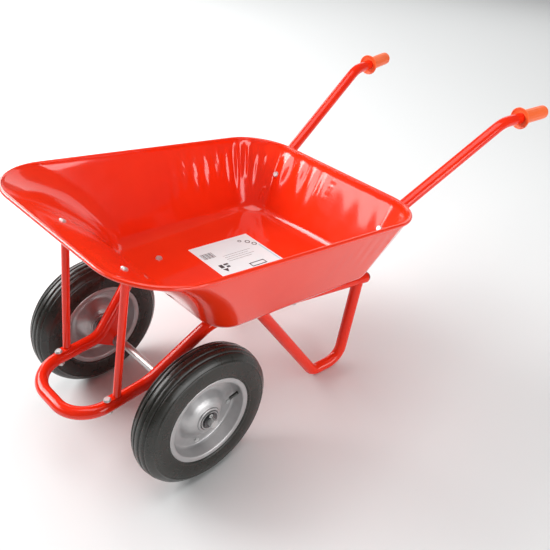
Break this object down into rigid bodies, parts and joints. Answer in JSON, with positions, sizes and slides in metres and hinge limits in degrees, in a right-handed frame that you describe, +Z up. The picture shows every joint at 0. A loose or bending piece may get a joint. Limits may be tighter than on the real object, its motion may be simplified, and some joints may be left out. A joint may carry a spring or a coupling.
{
  "type": "wheelbarrow",
  "caption": "Garden wheelbarrow with a deep pressed tray on a bent tube frame, air-filled wheels on a shared axle, standing legs and long handles with grips.",
  "frame": {"origin": "on the ground, under the middle of the overall length and width", "axes": "+X across to the side named left, +Y back towards the handles, +Z up"},
  "size_m": [0.6276, 1.4604, 0.64],
  "materials": {
    "tray_paint": "glossy red powder coat",
    "frame_paint": "glossy red powder coat",
    "grip_plastic": "orange-red moulded plastic with a soft shine",
    "cap_plastic": "dark red plastic",
    "zinc": "bright zinc plate",
    "bare_wire": "bare steel wire inside the rolled edge",
    "rim_grey": "satin grey paint",
    "hub_steel": "satin steel",
    "bearing_steel": "dark bearing steel",
    "tyre_rubber": "black rubber with a soft shine",
    "tube_rubber": "matt black rubber",
    "label_white": "plain white sticker with a faint printed pattern"
  },
  "bodies": {
    "frame": {"tray": "tray_paint", "rim_wire": "bare_wire", "label": "label_white", "front_hoop": "frame_paint", "cross_member": "frame_paint", "axle": "zinc", "left_side_tube": "frame_paint", "left_handle_tube": "frame_paint", "left_grip": "grip_plastic", "left_leg": "frame_paint", "left_front_strut": "frame_paint", "left_axle_bracket": "frame_paint", "right_side_tube": "frame_paint", "right_handle_tube": "frame_paint", "right_grip": "grip_plastic", "right_leg": "frame_paint", "right_front_strut": "frame_paint", "right_axle_bracket": "frame_paint", "side_tube_caps": "cap_plastic", "axle_spacers": "zinc", "axle_washers": "zinc", "cotter_pins": "zinc", "hoop_bolts": "zinc", "hoop_nuts": "zinc", "nose_bolts": "zinc", "nose_nuts": "zinc", "floor_bolts": "zinc", "floor_nuts": "zinc", "rear_wall_bolts": "zinc", "rear_wall_nuts": "zinc", "frame_bolts": "zinc", "frame_nuts": "zinc"},
    "left_wheel": {"left_tyre": "tyre_rubber", "left_inner_tube": "tube_rubber", "left_outer_rim": "rim_grey", "left_inner_rim": "rim_grey", "left_hub": "hub_steel", "left_wheel_bearings": "bearing_steel", "left_rim_bolts": "zinc", "left_rim_nuts": "zinc"},
    "right_wheel": {"right_tyre": "tyre_rubber", "right_inner_tube": "tube_rubber", "right_outer_rim": "rim_grey", "right_inner_rim": "rim_grey", "right_hub": "hub_steel", "right_wheel_bearings": "bearing_steel", "right_rim_bolts": "zinc", "right_rim_nuts": "zinc"}
  },
  "joints": [
    {"name": "left_wheel_spin", "type": "hinge", "parent": "frame", "child": "left_wheel", "pos_m": [0.2205, -0.47419, 0.175], "axis": [1, 0, 0], "continuous": true},
    {"name": "right_wheel_spin", "type": "hinge", "parent": "frame", "child": "right_wheel", "pos_m": [-0.2205, -0.47419, 0.175], "axis": [1, 0, 0], "continuous": true}
  ]
}
